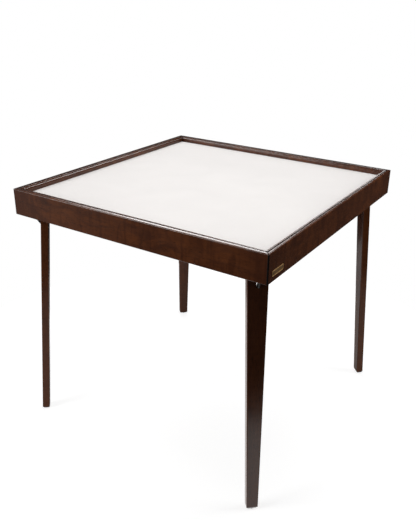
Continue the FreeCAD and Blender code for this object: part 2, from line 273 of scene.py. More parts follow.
def edge_wear_group():
    """A mask of the rubbed edges, broken up by noise."""
    tree, start, end = new_group("Edge Wear", {"Radius": 1.5 * MM, "Breakup Scale": 70.0}, ("Mask",))
    rounded = put(tree, "ShaderNodeBevel", {"Radius": start["Radius"]}, samples=4)
    flat = put(tree, "ShaderNodeNewGeometry").outputs["Normal"]
    edge = spread(tree, dot(tree, rounded.outputs["Normal"], flat), 0.985, 0.86)
    breakup = noise(tree, start["Vector"], start["Breakup Scale"], 3.0, 0.65)
    return finish_group(tree, end, Mask=times(tree, edge, spread(tree, breakup, 0.4, 0.66)))


def seam_and_end_shade_group():
    """A line where two rails or strips meet, a band round the table's corner, and painted shade that
    darkens the rails towards their ends.

    Corner is where the band begins, as the sum of X and Y.
    """
    tree, start, end = new_group(
        "Mitre Seam", {"Width": 0.6 * MM, "Corner": 0.81}, ("Mask", "Band", "Ends"))
    band_edge, end_shade_reach = 0.8 * MM, 90 * MM
    parts = apart(tree, start["Vector"])
    across = sums(tree, "ABSOLUTE", parts["X"])
    along = sums(tree, "ABSOLUTE", parts["Y"])
    gap = sums(tree, "ABSOLUTE", sums(tree, "SUBTRACT", across, along))
    share = sums(tree, "DIVIDE", gap, start["Width"])
    beyond = sums(tree, "SUBTRACT", sums(tree, "ADD", across, along), start["Corner"])
    return finish_group(
        tree, end, Mask=spread(tree, share, 1.0, 0.5), Band=spread(tree, beyond, 0.0, band_edge),
        Ends=spread(tree, beyond, -end_shade_reach, 0.0))


def dust_group():
    """Faint dust and smudges."""
    tree, start, end = new_group(
        "Dust", {"Smudge Scale": 9.0, "Speck Scale": 420.0}, ("Smudges", "Specks"))
    smudges = noise(tree, start["Vector"], start["Smudge Scale"], 4.0, 0.6, 0.8)
    specks = noise(tree, start["Vector"], start["Speck Scale"], 1.0)
    return finish_group(tree, end, Smudges=spread(tree, smudges, 0.4, 0.7),
                        Specks=spread(tree, specks, 0.7, 0.76))


def brushed_group():
    """Fine lines left by rolling or brushing, along X."""
    tree, start, end = new_group("Brushed Metal", {"Line Scale": 1500.0}, ("Lines", "Blotches"))
    lines = noise(tree, stretched(tree, start["Vector"], (0.03, 1.0, 1.0)),
                  start["Line Scale"], 2.0, 0.6)
    blotches = noise(tree, start["Vector"], 160.0, 3.0, 0.6)
    return finish_group(tree, end, Lines=lines, Blotches=spread(tree, blotches, 0.35, 0.65))


def felt_nap_group():
    """Tangled short fibres, and the lighter and darker patches of a brushed nap."""
    tree, start, end = new_group("Felt Nap", {"Fibre Scale": 1400.0}, ("Height", "Shade", "Flecks"))
    vector = start["Vector"]
    scale = start["Fibre Scale"]
    tangle = noise(tree, vector, scale, 3.0, 0.7, 2.2)
    clumps = noise(tree, vector, times(tree, scale, 0.25), 2.0, 0.6, 1.0)
    height = sums(tree, "ADD", times(tree, tangle, 0.65), times(tree, clumps, 0.35))
    patches = noise(tree, vector, 7.0, 3.0, 0.55, 0.5)
    flecks = noise(tree, vector, times(tree, scale, 0.6), 1.0)
    return finish_group(tree, end, Height=height, Shade=spread(tree, patches, 0.3, 0.7),
                        Flecks=spread(tree, flecks, 0.68, 0.75))


GROUP_MAKERS = {
    "Wood Grain": wood_grain_group,
    "Edge Wear": edge_wear_group,
    "Mitre Seam": seam_and_end_shade_group,
    "Dust": dust_group,
    "Brushed Metal": brushed_group,
    "Felt Nap": felt_nap_group,
}


def group(tree, name, inputs):
    """Place a shared node group in a material, building it the first time."""
    shared = bpy.data.node_groups.get(name) or GROUP_MAKERS[name]()
    return put(tree, "ShaderNodeGroup", inputs, node_tree=shared).outputs


# Materials

PORE_SHADE = (0.006, 0.003, 0.002, 1)
LINE_SHADE = (0.004, 0.0022, 0.0018, 1)
FLECK_SHADE = (0.55, 0.5, 0.45, 1)
MITRE_WIDTH = 2.0 * MM
MITRE_BAND = 3.6 * MM


def new_material(name):
    """An empty material with its shader: material, tree, shader and the object coordinates."""
    material = bpy.data.materials.new(name)
    tree = empty_tree(material)
    shader = tree.nodes.new("ShaderNodeBsdfPrincipled")
    end = tree.nodes.new("ShaderNodeOutputMaterial")
    tree.links.new(shader.outputs["BSDF"], end.inputs["Surface"])
    place = tree.nodes.new("ShaderNodeTexCoord").outputs["Object"]
    return material, tree, shader, place


def framed(tree, place, location, turn):
    """Coordinates in a board's own frame."""
    return put(tree, "ShaderNodeMapping",
               {"Vector": place, "Location": location, "Rotation": turn},
               vector_type="TEXTURE").outputs["Vector"]


def bump(tree, shader, height, strength, distance):
    made = put(tree, "ShaderNodeBump", {"Height": height, "Strength": strength, "Distance": distance})
    feed(tree, shader, {"Normal": made.outputs["Normal"]})


def stained_wood(name, location, turn, seam=False, sides=None):
    """Dark stained wood under a satin lacquer, with its grain along the board.

    With a seam, the board's mitres, a band round the corner, painted shade that darkens the rails towards
    their ends and a painted shade line along the rim's step are drawn on it. Faces that look along the
    direction of the sides are painted lighter and warmer, as painted light on those faces.
    """
    patchy, figured = (0.25, 0.2) if sides else (0.6, 0.6)
    material, tree, shader, place = new_material(name)
    board = framed(tree, place, location, turn)
    grain = group(tree, "Wood Grain", {"Vector": board, "Streak Scale": 42.0, "Fibre Scale": 620.0})
    wear = group(tree, "Edge Wear", {"Vector": place, "Radius": 1.6 * MM, "Breakup Scale": 60.0})
    dust = group(tree, "Dust", {"Vector": place, "Smudge Scale": 8.0, "Speck Scale": 500.0})
    depth = sums(tree, "ADD", times(tree, grain["Streaks"], 0.5), times(tree, grain["Cloud"], 0.5))
    base = blend(tree, depth, colour("stain_dark"), colour("stain"))
    warm = times(tree, grain["Mottle"], patchy)
    if sides:
        # Painted light: faces that look along the sides are made lighter and warmer.
        normal = put(tree, "ShaderNodeTexCoord").outputs["Normal"]
        side_light = sums(tree, "ABSOLUTE", dot(tree, normal, sides))
        warm = sums(tree, "ADD", warm, spread(tree, side_light, 0.8, 0.95, 0.0, 0.65))
    base = blend(tree, warm, base, colour("stain_warm"))
    base = blend(tree, times(tree, grain["Figure"], figured), base, colour("stain_dark"))
    fibres = spread(tree, grain["Fibres"], 0.35, 0.75, 0.0, 0.35)
    base = blend(tree, fibres, base, colour("stain_dark"))
    base = blend(tree, times(tree, grain["Pores"], 0.6), base, PORE_SHADE)
    base = blend(tree, times(tree, wear["Mask"], 0.3), base, colour("stain_worn"))
    rough = spread(tree, dust["Smudges"], 0.0, 1.0, 0.16, 0.22)
    rough = sums(tree, "ADD", rough, times(tree, grain["Fibres"], 0.06))
    height = sums(tree, "SUBTRACT", times(tree, grain["Fibres"], 0.4), grain["Pores"])
    if seam:
        corner = 2 * high("rail_right").x - MITRE_BAND
        seam_and_end_shade = group(tree, "Mitre Seam", {"Vector": board, "Width": MITRE_WIDTH, "Corner": corner})
        # Painted shade: the rails are made darker towards their ends near the corners.
        base = blend(tree, times(tree, seam_and_end_shade["Ends"], 0.6), base, colour("stain_dark"))
        # The seams and the corner band are drawn dark and rough, and with them a painted shade line along
        # the rim's step.
        lines = sums(tree, "MAXIMUM", seam_and_end_shade["Mask"], seam_and_end_shade["Band"])
        lines = sums(tree, "MAXIMUM", lines, rim_step_shade(tree, place))
        base = blend(tree, lines, base, LINE_SHADE)
        rough = sums(tree, "MAXIMUM", rough, lines)
        height = sums(tree, "SUBTRACT", height, times(tree, seam_and_end_shade["Mask"], 3.0))
    feed(tree, shader, {"Base Color": base, "Roughness": rough, "Specular IOR Level": 0.4})
    bump(tree, shader, height, 0.2, 0.12 * MM)
    return material


def rim_step_shade(tree, place):
    """A mask of painted shade: a dark line round the rim along the step at the foot of its crest."""
    inset, half_width, fade, depth = 10.2 * MM, 1.8 * MM, 0.5 * MM, 2 * MM
    edge = high("rail_right")
    parts = apart(tree, place)
    out = sums(tree, "MAXIMUM", sums(tree, "ABSOLUTE", parts["X"]), sums(tree, "ABSOLUTE", parts["Y"]))
    away = sums(tree, "ABSOLUTE", sums(tree, "SUBTRACT", out, edge.x - inset))
    near = spread(tree, away, half_width + fade, half_width)
    return times(tree, near, sums(tree, "GREATER_THAN", parts["Z"], edge.z - depth))


def plain_wood(name, shade, location, turn):
    """Unstained board, sawn and only sealed."""
    material, tree, shader, place = new_material(name)
    board = framed(tree, place, location, turn)
    grain = group(tree, "Wood Grain", {"Vector": board, "Streak Scale": 60.0, "Fibre Scale": 520.0})
    dust = group(tree, "Dust", {"Vector": place, "Smudge Scale": 12.0, "Speck Scale": 300.0})
    darker = toned(shade, 0.55)
    base = blend(tree, grain["Streaks"], darker, shade)
    base = blend(tree, times(tree, grain["Pores"], 0.5), base, darker)
    base = blend(tree, times(tree, dust["Smudges"], 0.25), base, darker)
    rough = spread(tree, grain["Fibres"], 0.3, 0.7, 0.62, 0.8)
    feed(tree, shader, {"Base Color": base, "Roughness": rough, "Specular IOR Level": 0.3})
    bump(tree, shader, sums(tree, "SUBTRACT", grain["Fibres"], grain["Pores"]), 0.5, 0.2 * MM)
    return material


def felt_cloth(name):
    """Off-white felt with a soft, short nap."""
    material, tree, shader, place = new_material(name)
    nap = group(tree, "Felt Nap", {"Vector": place, "Fibre Scale": 1400.0})
    shaded = toned(colour("felt"), 0.93)
    base = blend(tree, times(tree, nap["Shade"], 0.5), colour("felt"), shaded)
    # Painted shade: the felt is darker where its fibres are low, in the hollows of the nap.
    base = blend(tree, spread(tree, nap["Height"], 0.35, 0.6, 0.25, 0.0), base, shaded)
    base = blend(tree, times(tree, nap["Flecks"], 0.12), base, FLECK_SHADE)
    rough = spread(tree, nap["Shade"], 0.0, 1.0, 0.92, 1.0)
    feed(tree, shader, {"Base Color": base, "Roughness": rough, "Specular IOR Level": 0.08,
                        "Sheen Weight": 0.12, "Sheen Roughness": 0.6})
    bump(tree, shader, nap["Height"], 0.4, 0.4 * MM)
    return material


def metal(name, shade, roughness, turn=(0, 0, 0), tarnish=0.35, plating=1.0, rubbed=1.35):
    """Plated or plain metal with fine lines, blotches and rubbed edges, lighter by the rubbed factor; on
    the braces the lighter edges are partly a painted highlight.
    """
    material, tree, shader, place = new_material(name)
    board = framed(tree, place, (0, 0, 0), turn)
    lines = group(tree, "Brushed Metal", {"Vector": board, "Line Scale": 1500.0})
    wear = group(tree, "Edge Wear", {"Vector": place, "Radius": 0.6 * MM, "Breakup Scale": 300.0})
    base = blend(tree, times(tree, lines["Blotches"], tarnish), shade, toned(shade, 0.55))
    base = blend(tree, times(tree, wear["Mask"], 0.6), base, toned(shade, rubbed))
    rough = spread(tree, lines["Blotches"], 0.0, 1.0, roughness - 0.05, roughness + 0.09)
    feed(tree, shader, {"Base Color": base, "Metallic": plating, "Roughness": rough})
    bump(tree, shader, lines["Lines"], 0.2, 0.05 * MM)
    return material


def moulded_plastic(name, shade):
    """Brown moulded plastic, scuffed where it slides on the floor."""
    material, tree, shader, place = new_material(name)
    dust = group(tree, "Dust", {"Vector": place, "Smudge Scale": 160.0, "Speck Scale": 900.0})
    wear = group(tree, "Edge Wear", {"Vector": place, "Radius": 0.5 * MM, "Breakup Scale": 400.0})
    lighter = toned(shade, 2.2)
    base = blend(tree, times(tree, dust["Smudges"], 0.4), shade, lighter)
    base = blend(tree, wear["Mask"], base, lighter)
    rough = spread(tree, dust["Smudges"], 0.0, 1.0, 0.45, 0.62)
    feed(tree, shader, {"Base Color": base, "Roughness": rough})
    bump(tree, shader, dust["Specks"], 0.15, 0.05 * MM)
    return material


def dress(piece, material):
    """Give a piece one material."""
    piece.data.materials.clear()
    piece.data.materials.append(material)


# Modelling

def clear_selection():
    if bpy.context.object and bpy.context.object.mode != "OBJECT":
        bpy.ops.object.mode_set(mode="OBJECT")
    bpy.ops.object.select_all(action="DESELECT")


def hold(piece):
    """Select one piece alone and make it active."""
    clear_selection()
    piece.select_set(True)
    bpy.context.view_layer.objects.active = piece


def edit(piece):
    hold(piece)
    bpy.ops.object.mode_set(mode="EDIT")


def leave_edit():
    bpy.ops.object.mode_set(mode="OBJECT")


def choose(kind, wanted):
    """In edit mode, select the faces, edges or verts that pass a test; the test gets the element."""
    piece = bpy.context.object
    bpy.ops.mesh.select_mode(type={"faces": "FACE", "edges": "EDGE", "verts": "VERT"}[kind])
    bpy.ops.mesh.select_all(action="DESELECT")
    mesh = bmesh.from_edit_mesh(piece.data)
    mesh.normal_update()
    found = [element for element in getattr(mesh, kind) if wanted(element)]
    for element in found:
        element.select_set(True)
    mesh.select_flush_mode()
    bmesh.update_edit_mesh(piece.data)
    if not found:
        raise RuntimeError("nothing to select on " + piece.name)


def take_all():
    bpy.ops.mesh.select_all(action="SELECT")


def apply_place():
    """Bring the held piece's place into its mesh."""
    bpy.ops.object.transform_apply(location=True, rotation=True, scale=True)


def add_modifier(piece, kind, **settings):
    """Add a modifier, set it and apply it."""
    hold(piece)
    made = piece.modifiers.new(kind.title(), kind)
    for name, value in settings.items():
        setattr(made, name, value)
    bpy.ops.object.modifier_apply(modifier=made.name)


def smooth(piece, degrees):
    hold(piece)
    bpy.ops.object.shade_smooth_by_angle(angle=math.radians(degrees))


def lathe(name, outline, steps):
    """Turn an outline of (radius, height) points about Z; it starts and ends on the axis."""
    clear_selection()
    bpy.ops.mesh.primitive_plane_add(size=2 * MM)
    piece = bpy.context.object
    piece.name = name
    bpy.ops.object.mode_set(mode="EDIT")
    bpy.ops.mesh.select_mode(type="VERT")
    take_all()
    bpy.ops.mesh.merge(type="CENTER")
    bpy.ops.transform.translate(value=(outline[0][0], 0, outline[0][1]))
    for (radius, height), (next_radius, next_height) in zip(outline, outline[1:]):
        step = (next_radius - radius, 0, next_height - height)
        bpy.ops.mesh.extrude_region_move(TRANSFORM_OT_translate={"value": step})
    take_all()
    bpy.ops.mesh.spin(steps=steps, angle=FULL_TURN, center=(0, 0, 0), axis=(0, 0, 1))
    take_all()
    bpy.ops.mesh.remove_doubles(threshold=WELD)
    bpy.ops.mesh.normals_make_consistent(inside=False)
    leave_edit()
    return piece


def cut_away(piece, tool):
    """Cut one piece's shape out of another and drop the tool."""
    add_modifier(piece, "BOOLEAN", operation="DIFFERENCE", object=tool, solver="EXACT")
    bpy.data.objects.remove(tool)


def place_copy(piece, matrix):
    """A copy with its own mesh, put in place."""
    copy = piece.copy()
    copy.data = piece.data.copy()
    bpy.context.scene.collection.objects.link(copy)
    copy.matrix_world = matrix
    hold(copy)
    apply_place()
    return copy


def join(pieces):
    clear_selection()
    for piece in pieces:
        piece.select_set(True)
    bpy.context.view_layer.objects.active = pieces[0]
    if bpy.ops.object.join() != {"FINISHED"}:
        raise RuntimeError("could not join " + pieces[0].name)
    return pieces[0]


def stand_in(piece, node, body):
    """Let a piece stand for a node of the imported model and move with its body."""
    piece.name = node + "_detail"
    piece.data.name = piece.name
    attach(piece, body)
    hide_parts(node)


def turned_frame(origin, x_way, z_way):
    """A matrix with its X and Z axes along two square directions."""
    x_way, z_way = x_way.normalized(), z_way.normalized()
    y_way = z_way.cross(x_way)
    return Matrix.Translation(origin) @ Matrix((x_way, y_way, z_way)).transposed().to_4x4()


def euler(x_way, z_way):
    """The same as Euler angles, for a Mapping node."""
    return tuple(turned_frame(Vector(), x_way, z_way).to_euler())


def reach_along(node, point, axis):
    """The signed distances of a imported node's vertices from a point, along an axis."""
    return [(vertex.co - point).dot(axis) for vertex in packed(node).data.vertices]


def eased_copy(node, width):
    """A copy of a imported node, welded, cleaned and with its sharp edges eased."""
    piece = packed(node).copy()
    piece.data = piece.data.copy()
    for key in list(piece.keys()):
        if key.startswith("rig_"):
            del piece[key]
    piece.parent = None
    bpy.context.scene.collection.objects.link(piece)
    hold(piece)
    if piece.data.has_custom_normals:
        bpy.ops.mesh.customdata_custom_splitnormals_clear()
    bpy.ops.object.mode_set(mode="EDIT")
    take_all()
    bpy.ops.mesh.remove_doubles(threshold=WELD)
    bpy.ops.mesh.dissolve_limited(angle_limit=math.radians(1.0))
    leave_edit()
    add_modifier(piece, "BEVEL", width=width, segments=2, limit_method="ANGLE",
                 angle_limit=math.radians(50), use_clamp_overlap=True)
    smooth(piece, 40)
    return piece


# Operators

class PUZZLETABLE_OT_rails(bpy.types.Operator):
    """Stain the rails and the inner strips"""
    bl_idname = "puzzle_table.rails"
    bl_label = "Rails and strips"

    def execute(self, context):
        noise_step = 0.37  # so that each rail has its own grain
        for index, (side, turn) in enumerate(SIDE_TURN.items()):
            place = (0, 0, noise_step * index)
            wood = stained_wood("stained_wood_" + side, place, (0, 0, turn), seam=True)
            for node in ("rail_" + side, "inner_strip_" + side):
                dress(packed(node), wood)
        return {"FINISHED"}


class PUZZLETABLE_OT_legs(bpy.types.Operator):
    """Stain the legs"""
    bl_idname = "puzzle_table.legs"
    bl_label = "Legs"

    def execute(self, context):
        for corner in CORNERS:
            node = "leg_" + corner
            sides = hinge(node)[1]
            slope = leg_slope(corner)
            turn = euler(slope, slope.cross(sides))
            wood = stained_wood("stained_wood_" + node, middle(node), turn, sides=sides)
            dress(packed(node), wood)
        return {"FINISHED"}


class PUZZLETABLE_OT_boards(bpy.types.Operator):
    """Finish the panel under the felt and the corner blocks"""
    bl_idname = "puzzle_table.boards"
    bl_label = "Panel and blocks"

    def execute(self, context):
        dress(packed("panel"), plain_wood("panel_board", colour("board"), (0, 0, 0), (0, 0, 0)))
        for corner in CORNERS:
            node = "corner_block_" + corner
            turn = euler(UP.cross(outward(corner)), UP)
            wood = plain_wood("block_wood_" + corner, colour("block"), middle(node), turn)
            dress(packed(node), wood)
        return {"FINISHED"}


class PUZZLETABLE_OT_felt(bpy.types.Operator):
    """Lay the felt, with its edge squeezed under the strips"""
    bl_idname = "puzzle_table.felt"
    bl_label = "Felt"

    def execute(self, context):
        bottom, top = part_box("felt_surface")
        edge = top.x
        field = low("inner_strip_right").x
        cells = 110
        clear_selection()
        bpy.ops.mesh.primitive_grid_add(x_subdivisions=cells, y_subdivisions=cells, size=2 * edge,
                                        location=(0, 0, top.z))
        felt = bpy.context.object
        self.line_the_field(felt, field)
        self.ripple(felt, field)
        edit(felt)
        self.squeeze(field)
        take_all()
        bpy.ops.mesh.extrude_region_move(TRANSFORM_OT_translate={"value": (0, 0, bottom.z - top.z)})
        bpy.ops.transform.resize(value=(1, 1, 0), center_override=(0, 0, bottom.z))
        take_all()
        bpy.ops.mesh.normals_make_consistent(inside=False)
        leave_edit()
        apply_place()
        smooth(felt, 60)
        dress(felt, felt_cloth("felt_cloth"))
        stand_in(felt, "felt_surface", "table_top")
        return {"FINISHED"}

    def line_the_field(self, felt, field):
        """Cut lines at the strips' inner faces and a little inside them."""
        edit(felt)
        for reach in (field, field - sizes().felt_roll / 2, field - sizes().felt_roll):
            for normal in ((1, 0, 0), (-1, 0, 0), (0, 1, 0), (0, -1, 0)):
                take_all()
                point = tuple(reach * value for value in normal)
                bpy.ops.mesh.bisect(plane_co=point, plane_no=normal)
        leave_edit()

    def ripple(self, felt, field):
        """A gentle unevenness that starts a little inside the strips."""
        inner = felt.vertex_groups.new(name="field")
        calm, swell_size = 25 * MM, 0.12
        for vertex in felt.data.vertices:
            away = field - max(abs(vertex.co.x), abs(vertex.co.y))
            inner.add([vertex.index], min(1, max(0, away / calm)), "REPLACE")
        swell = bpy.data.textures.new("felt_swell", "CLOUDS")
        swell.noise_scale = swell_size
        add_modifier(felt, "DISPLACE", texture=swell, texture_coords="LOCAL", direction="Z",
                     strength=-sizes().felt_ripple, mid_level=0.0, vertex_group="field")

    def squeeze(self, field):
        """Press the edge fully down and the first line inside the strips partly."""
        halfway, partly = sizes().felt_roll / 2, 0.3
        for inner, outer, share in ((field, math.inf, 1.0), (field - halfway, field - halfway, partly)):
            choose("verts", lambda vert: inner - WELD < max(abs(vert.co.x), abs(vert.co.y)) < outer + WELD)
            bpy.ops.transform.translate(value=(0, 0, -share * sizes().felt_squeeze))


class PUZZLETABLE_OT_name_plate(bpy.types.Operator):
    """Make the bare name plate and its two pins"""
    bl_idname = "puzzle_table.name_plate"
    bl_label = "Name plate"

    def execute(self, context):
        round_edge, slope, sunk = 0.18 * MM, 0.25 * MM, 0.45 * MM
        bottom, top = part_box("name_plate")
        size = top - bottom
        clear_selection()
        bpy.ops.mesh.primitive_cube_add(size=1, location=(bottom + top) / 2, scale=size)
        plate = bpy.context.object
        apply_place()
        edit(plate)
        choose("edges", lambda edge: abs(edge.verts[0].co.x - edge.verts[1].co.x) > size.x / 2)
        bpy.ops.mesh.bevel(offset=sizes().plate_corner, segments=6, affect="EDGES")
        choose("faces", lambda face: face.normal.x > 0.9)
        for share in (0.35, 0.65):
            bpy.ops.mesh.inset(thickness=sizes().plate_border * share)
        bpy.ops.mesh.inset(thickness=slope)
        bpy.ops.transform.translate(value=(-sunk, 0, 0))
        choose("edges", lambda edge: all(vert.co.x > top.x - WELD for vert in edge.verts)
               and any(face.normal.x < 0.5 for face in edge.link_faces))
        bpy.ops.mesh.bevel(offset=round_edge, segments=2, affect="EDGES")
        leave_edit()
        smooth(plate, 35)
        brass, turn = colour("brass"), (0, 0, math.pi / 2)
        dress(plate, metal("plate_brass", toned(brass, 3.1), 0.45, turn, tarnish=0.4, plating=0.35))
        field = metal("plate_brass_field", toned(brass, 0.8), 0.5, turn, tarnish=0.6, plating=0.35)
        plate.data.materials.append(field)
        edit(plate)
        choose("faces", lambda face: face.normal.x > 0.9 and face.calc_center_median().x < top.x - sunk / 2)
        plate.active_material_index = 1
        bpy.ops.object.material_slot_assign()
        leave_edit()
        stand_in(plate, "name_plate", "table_top")
        self.pins()
        return {"FINISHED"}

    def pins(self):
        """Two domed pins on the plate's field."""
        pins_low, pins_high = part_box("name_plate_pins")
        head = (pins_high.z - pins_low.z) / 2
        height = (pins_low.z + pins_high.z) / 2
        crown = 0.6 * MM
        field = pins_high.x - crown
        tip = pins_low.x - field
        dome = [(0, crown), (0.5 * head, 0.52 * MM), (0.85 * head, 0.3 * MM), (head, 0.08 * MM),
                (head, 0), (0.5 * head, 0), (0.5 * head, tip), (0, tip)]
        pin = lathe("plate_pin", dome, 20)
        frames = [turned_frame(Vector((field, y, height)), UP, Vector((1, 0, 0)))
                  for y in (pins_low.y + head, pins_high.y - head)]
        pins = join([place_copy(pin, place) for place in frames])
        bpy.data.objects.remove(pin)
        smooth(pins, 50)
        dress(pins, metal("plate_pin_brass", toned(colour("brass"), 0.45), 0.42, tarnish=0.8))
        stand_in(pins, "name_plate_pins", "table_top")


class PUZZLETABLE_OT_brackets(bpy.types.Operator):
    """Make the pressed steel brackets"""
    bl_idname = "puzzle_table.brackets"
    bl_label = "Hinge brackets"

    def execute(self, context):
        for corner in CORNERS:
            node = "hinge_bracket_" + corner
            bracket = eased_copy(node, sizes().steel_edge)
            turn = euler(outward(corner), UP)
            dress(bracket, metal("bracket_steel_" + corner, colour("steel"), 0.38, turn, tarnish=0.5))
            stand_in(bracket, node, "table_top")
        return {"FINISHED"}


class PUZZLETABLE_OT_braces(bpy.types.Operator):
    """Make the straps that hold the legs open"""
    bl_idname = "puzzle_table.braces"
    bl_label = "Braces"

    def execute(self, context):
        for corner in CORNERS:
            node = "brace_" + corner
            brace = eased_copy(node, sizes().steel_edge)
            point, across = hinge("brace_" + corner)
            turn = euler(point - middle("slot_pin_" + corner), across)
            steel = toned(colour("steel"), 0.06)
            # The braces' edges are made much lighter than their dark steel: partly rubbed wear, partly a
            # painted highlight.
            dress(brace, metal("brace_steel_" + corner, steel, 0.4, turn, tarnish=0.3, rubbed=2.0))
            stand_in(brace, node, "brace_" + corner + "_body")
        return {"FINISHED"}


class PUZZLETABLE_OT_bracket_screws(bpy.types.Operator):
    """Make the countersunk cross-head screws of the brackets"""
    bl_idname = "puzzle_table.bracket_screws"
    bl_label = "Bracket screws"

    def execute(self, context):
        bottom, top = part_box("bracket_screws_front_right")
        screw = self.screw(top.z - bottom.z)
        steel = metal("screw_steel", colour("steel"), 0.34, tarnish=0.45)
        for corner in CORNERS:
            node = "bracket_screws_" + corner
            frames = [turned_frame(Vector((*place, bottom.z)), outward(corner), UP)
                      for place in self.places(node)]
            screws = join([place_copy(screw, place) for place in frames])
            smooth(screws, 35)
            dress(screws, steel)
            stand_in(screws, node, "table_top")
        bpy.data.objects.remove(screw)
        return {"FINISHED"}

    def places(self, node):
        """The middles of a node's four screws, seen from above."""
        screw_width = 9 * MM
        groups = []
        for point in [vertex.co.xy for vertex in packed(node).data.vertices]:
            for members in groups:
                if (members[0] - point).length < screw_width:
                    members.append(point)
                    break
            else:
                groups.append([point])
        middles = []
        for members in groups:
            ranges = [sorted(values) for values in zip(*members)]
            middles.append([(values[0] + values[-1]) / 2 for values in ranges])
        if len(middles) != 4:
            raise RuntimeError("expected four screws in " + node)
        return middles

    def screw(self, length):
        """One screw that points up, with a cross recess in its head."""
        head, shank, tip = 3.95 * MM, 2.0 * MM, 0.5 * MM
        slot_reach, slot_depth, slot_taper = 4.6 * MM, 2.4 * MM, 0.55
        outline = [(0, 0), (3.6 * MM, 0), (head, 0.12 * MM), (head, 0.3 * MM), (shank, 2.1 * MM),
                   (1.9 * MM, length - 4 * MM), (tip, length - 0.6 * MM), (0, length)]
        screw = lathe("bracket_screw", outline, 28)
        for turn in (0, math.pi / 2):
            clear_selection()
            bpy.ops.mesh.primitive_cube_add(size=1, location=(0, 0, 0), rotation=(0, 0, turn),
                                            scale=(slot_reach, sizes().drive_width, slot_depth))
            tool = bpy.context.object
            apply_place()
            edit(tool)
            choose("faces", lambda face: face.normal.z > 0.9)
            bpy.ops.transform.resize(value=(slot_taper, slot_taper, 1))
            leave_edit()
            cut_away(screw, tool)
        return screw


class PUZZLETABLE_OT_leg_screws(bpy.types.Operator):
    """Make the shoulder screws on which the legs turn"""
    bl_idname = "puzzle_table.leg_screws"
    bl_label = "Leg screws"

    def execute(self, context):
        steel = metal("shoulder_steel", colour("steel"), 0.32, tarnish=0.4)
        for corner in CORNERS:
            node = "pivot_screws_" + corner
            point, axis = hinge("leg_" + corner)
            screw = self.screw(max(abs(reach) for reach in reach_along(node, point, axis)))
            frames = [turned_frame(point, UP, axis * side) for side in (-1, 1)]
            screws = join([place_copy(screw, place) for place in frames])
            bpy.data.objects.remove(screw)
            smooth(screws, 35)
            dress(screws, steel)
            stand_in(screws, node, "leg_" + corner + "_body")
        return {"FINISHED"}

    def screw(self, reach):
        """One screw along Z whose head ends at a given height, with a six-sided socket."""
        head, shoulder, thread = 6.5 * MM, 4.0 * MM, 3.0 * MM
        head_height, shoulder_length, thread_length = 3.0 * MM, 4.5 * MM, 15 * MM
        socket_depth, socket_chamfer = 2.2 * MM, 0.4 * MM
        seat = reach - head_height
        face = seat - shoulder_length
        outline = [(0, face - thread_length), (2.2 * MM, face - thread_length), (thread, face - 13.5 * MM),
                   (thread, face), (shoulder, face), (shoulder, seat), (head, seat),
                   (head, reach - 1.4 * MM), (6.0 * MM, reach - 0.6 * MM), (4.8 * MM, reach - 0.1 * MM),
                   (3.6 * MM, reach), (0, reach)]
        screw = lathe("leg_screw", outline, 32)
        clear_selection()
        bpy.ops.mesh.primitive_cylinder_add(vertices=6, radius=sizes().socket_radius,
                                            depth=2 * socket_depth, location=(0, 0, reach))
        tool = bpy.context.object
        apply_place()
        edit(tool)
        choose("faces", lambda face: face.normal.z < -0.9)
        bpy.ops.mesh.inset(thickness=socket_chamfer)
        leave_edit()
        cut_away(screw, tool)
        return screw


class PUZZLETABLE_OT_rivets(bpy.types.Operator):
    """Make the domed rivets and the sliding pins of the braces"""
    bl_idname = "puzzle_table.rivets"
    bl_label = "Rivets and pins"

    def execute(self, context):
        steel = metal("rivet_steel", toned(colour("steel"), 0.3), 0.35)
        for corner in CORNERS:
            axis = hinge("brace_" + corner)[1]
            for node, body in (("brace_rivet_" + corner, "table_top"),
                               ("slot_pin_" + corner, "brace_" + corner + "_body")):
                centre = middle(node)
                rivet = self.rivet(max(reach_along(node, centre, axis)))
                piece = place_copy(rivet, turned_frame(centre, UP, axis))
                bpy.data.objects.remove(rivet)
                smooth(piece, 40)
                dress(piece, steel)
                stand_in(piece, node, body)
        return {"FINISHED"}

    def rivet(self, reach):
        """A rivet along Z with a low dome at each end."""
        shank, head, seat = 2.5 * MM, 4.5 * MM, reach - 1.6 * MM
        half = [(shank, seat), (head, seat), (head, reach - 1.1 * MM),
                (4.0 * MM, reach - 0.55 * MM), (2.9 * MM, reach - 0.15 * MM), (1.5 * MM, reach), (0, reach)]
        outline = [(radius, -height) for radius, height in reversed(half)] + half
        return lathe("rivet", outline, 28)


class PUZZLETABLE_OT_glides(bpy.types.Operator):
    """Make the nail-on glides under the feet"""
    bl_idname = "puzzle_table.glides"
    bl_label = "Glides"

    def execute(self, context):
        plastic = moulded_plastic("glide_plastic", colour("glide"))
        bottom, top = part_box("foot_glide_front_right")
        radius, nail, base = (top.x - bottom.x) / 2, 1.2 * MM, 2.0 * MM
        outline = [(0, 0), (0.5 * radius, 0), (radius - 0.9 * MM, 0.1 * MM), (radius - 0.2 * MM, 0.6 * MM),
                   (radius, 1.2 * MM), (radius, base), (nail, base), (nail, top.z - 2 * MM), (0, top.z)]
        glide = lathe("glide", outline, 40)
        for corner in CORNERS:
            node = "foot_glide_" + corner
            place = middle(node)
            piece = place_copy(glide, Matrix.Translation((place.x, place.y, 0)))
            smooth(piece, 40)
            dress(piece, plastic)
            stand_in(piece, node, "leg_" + corner + "_body")
        bpy.data.objects.remove(glide)
        return {"FINISHED"}


# The studio

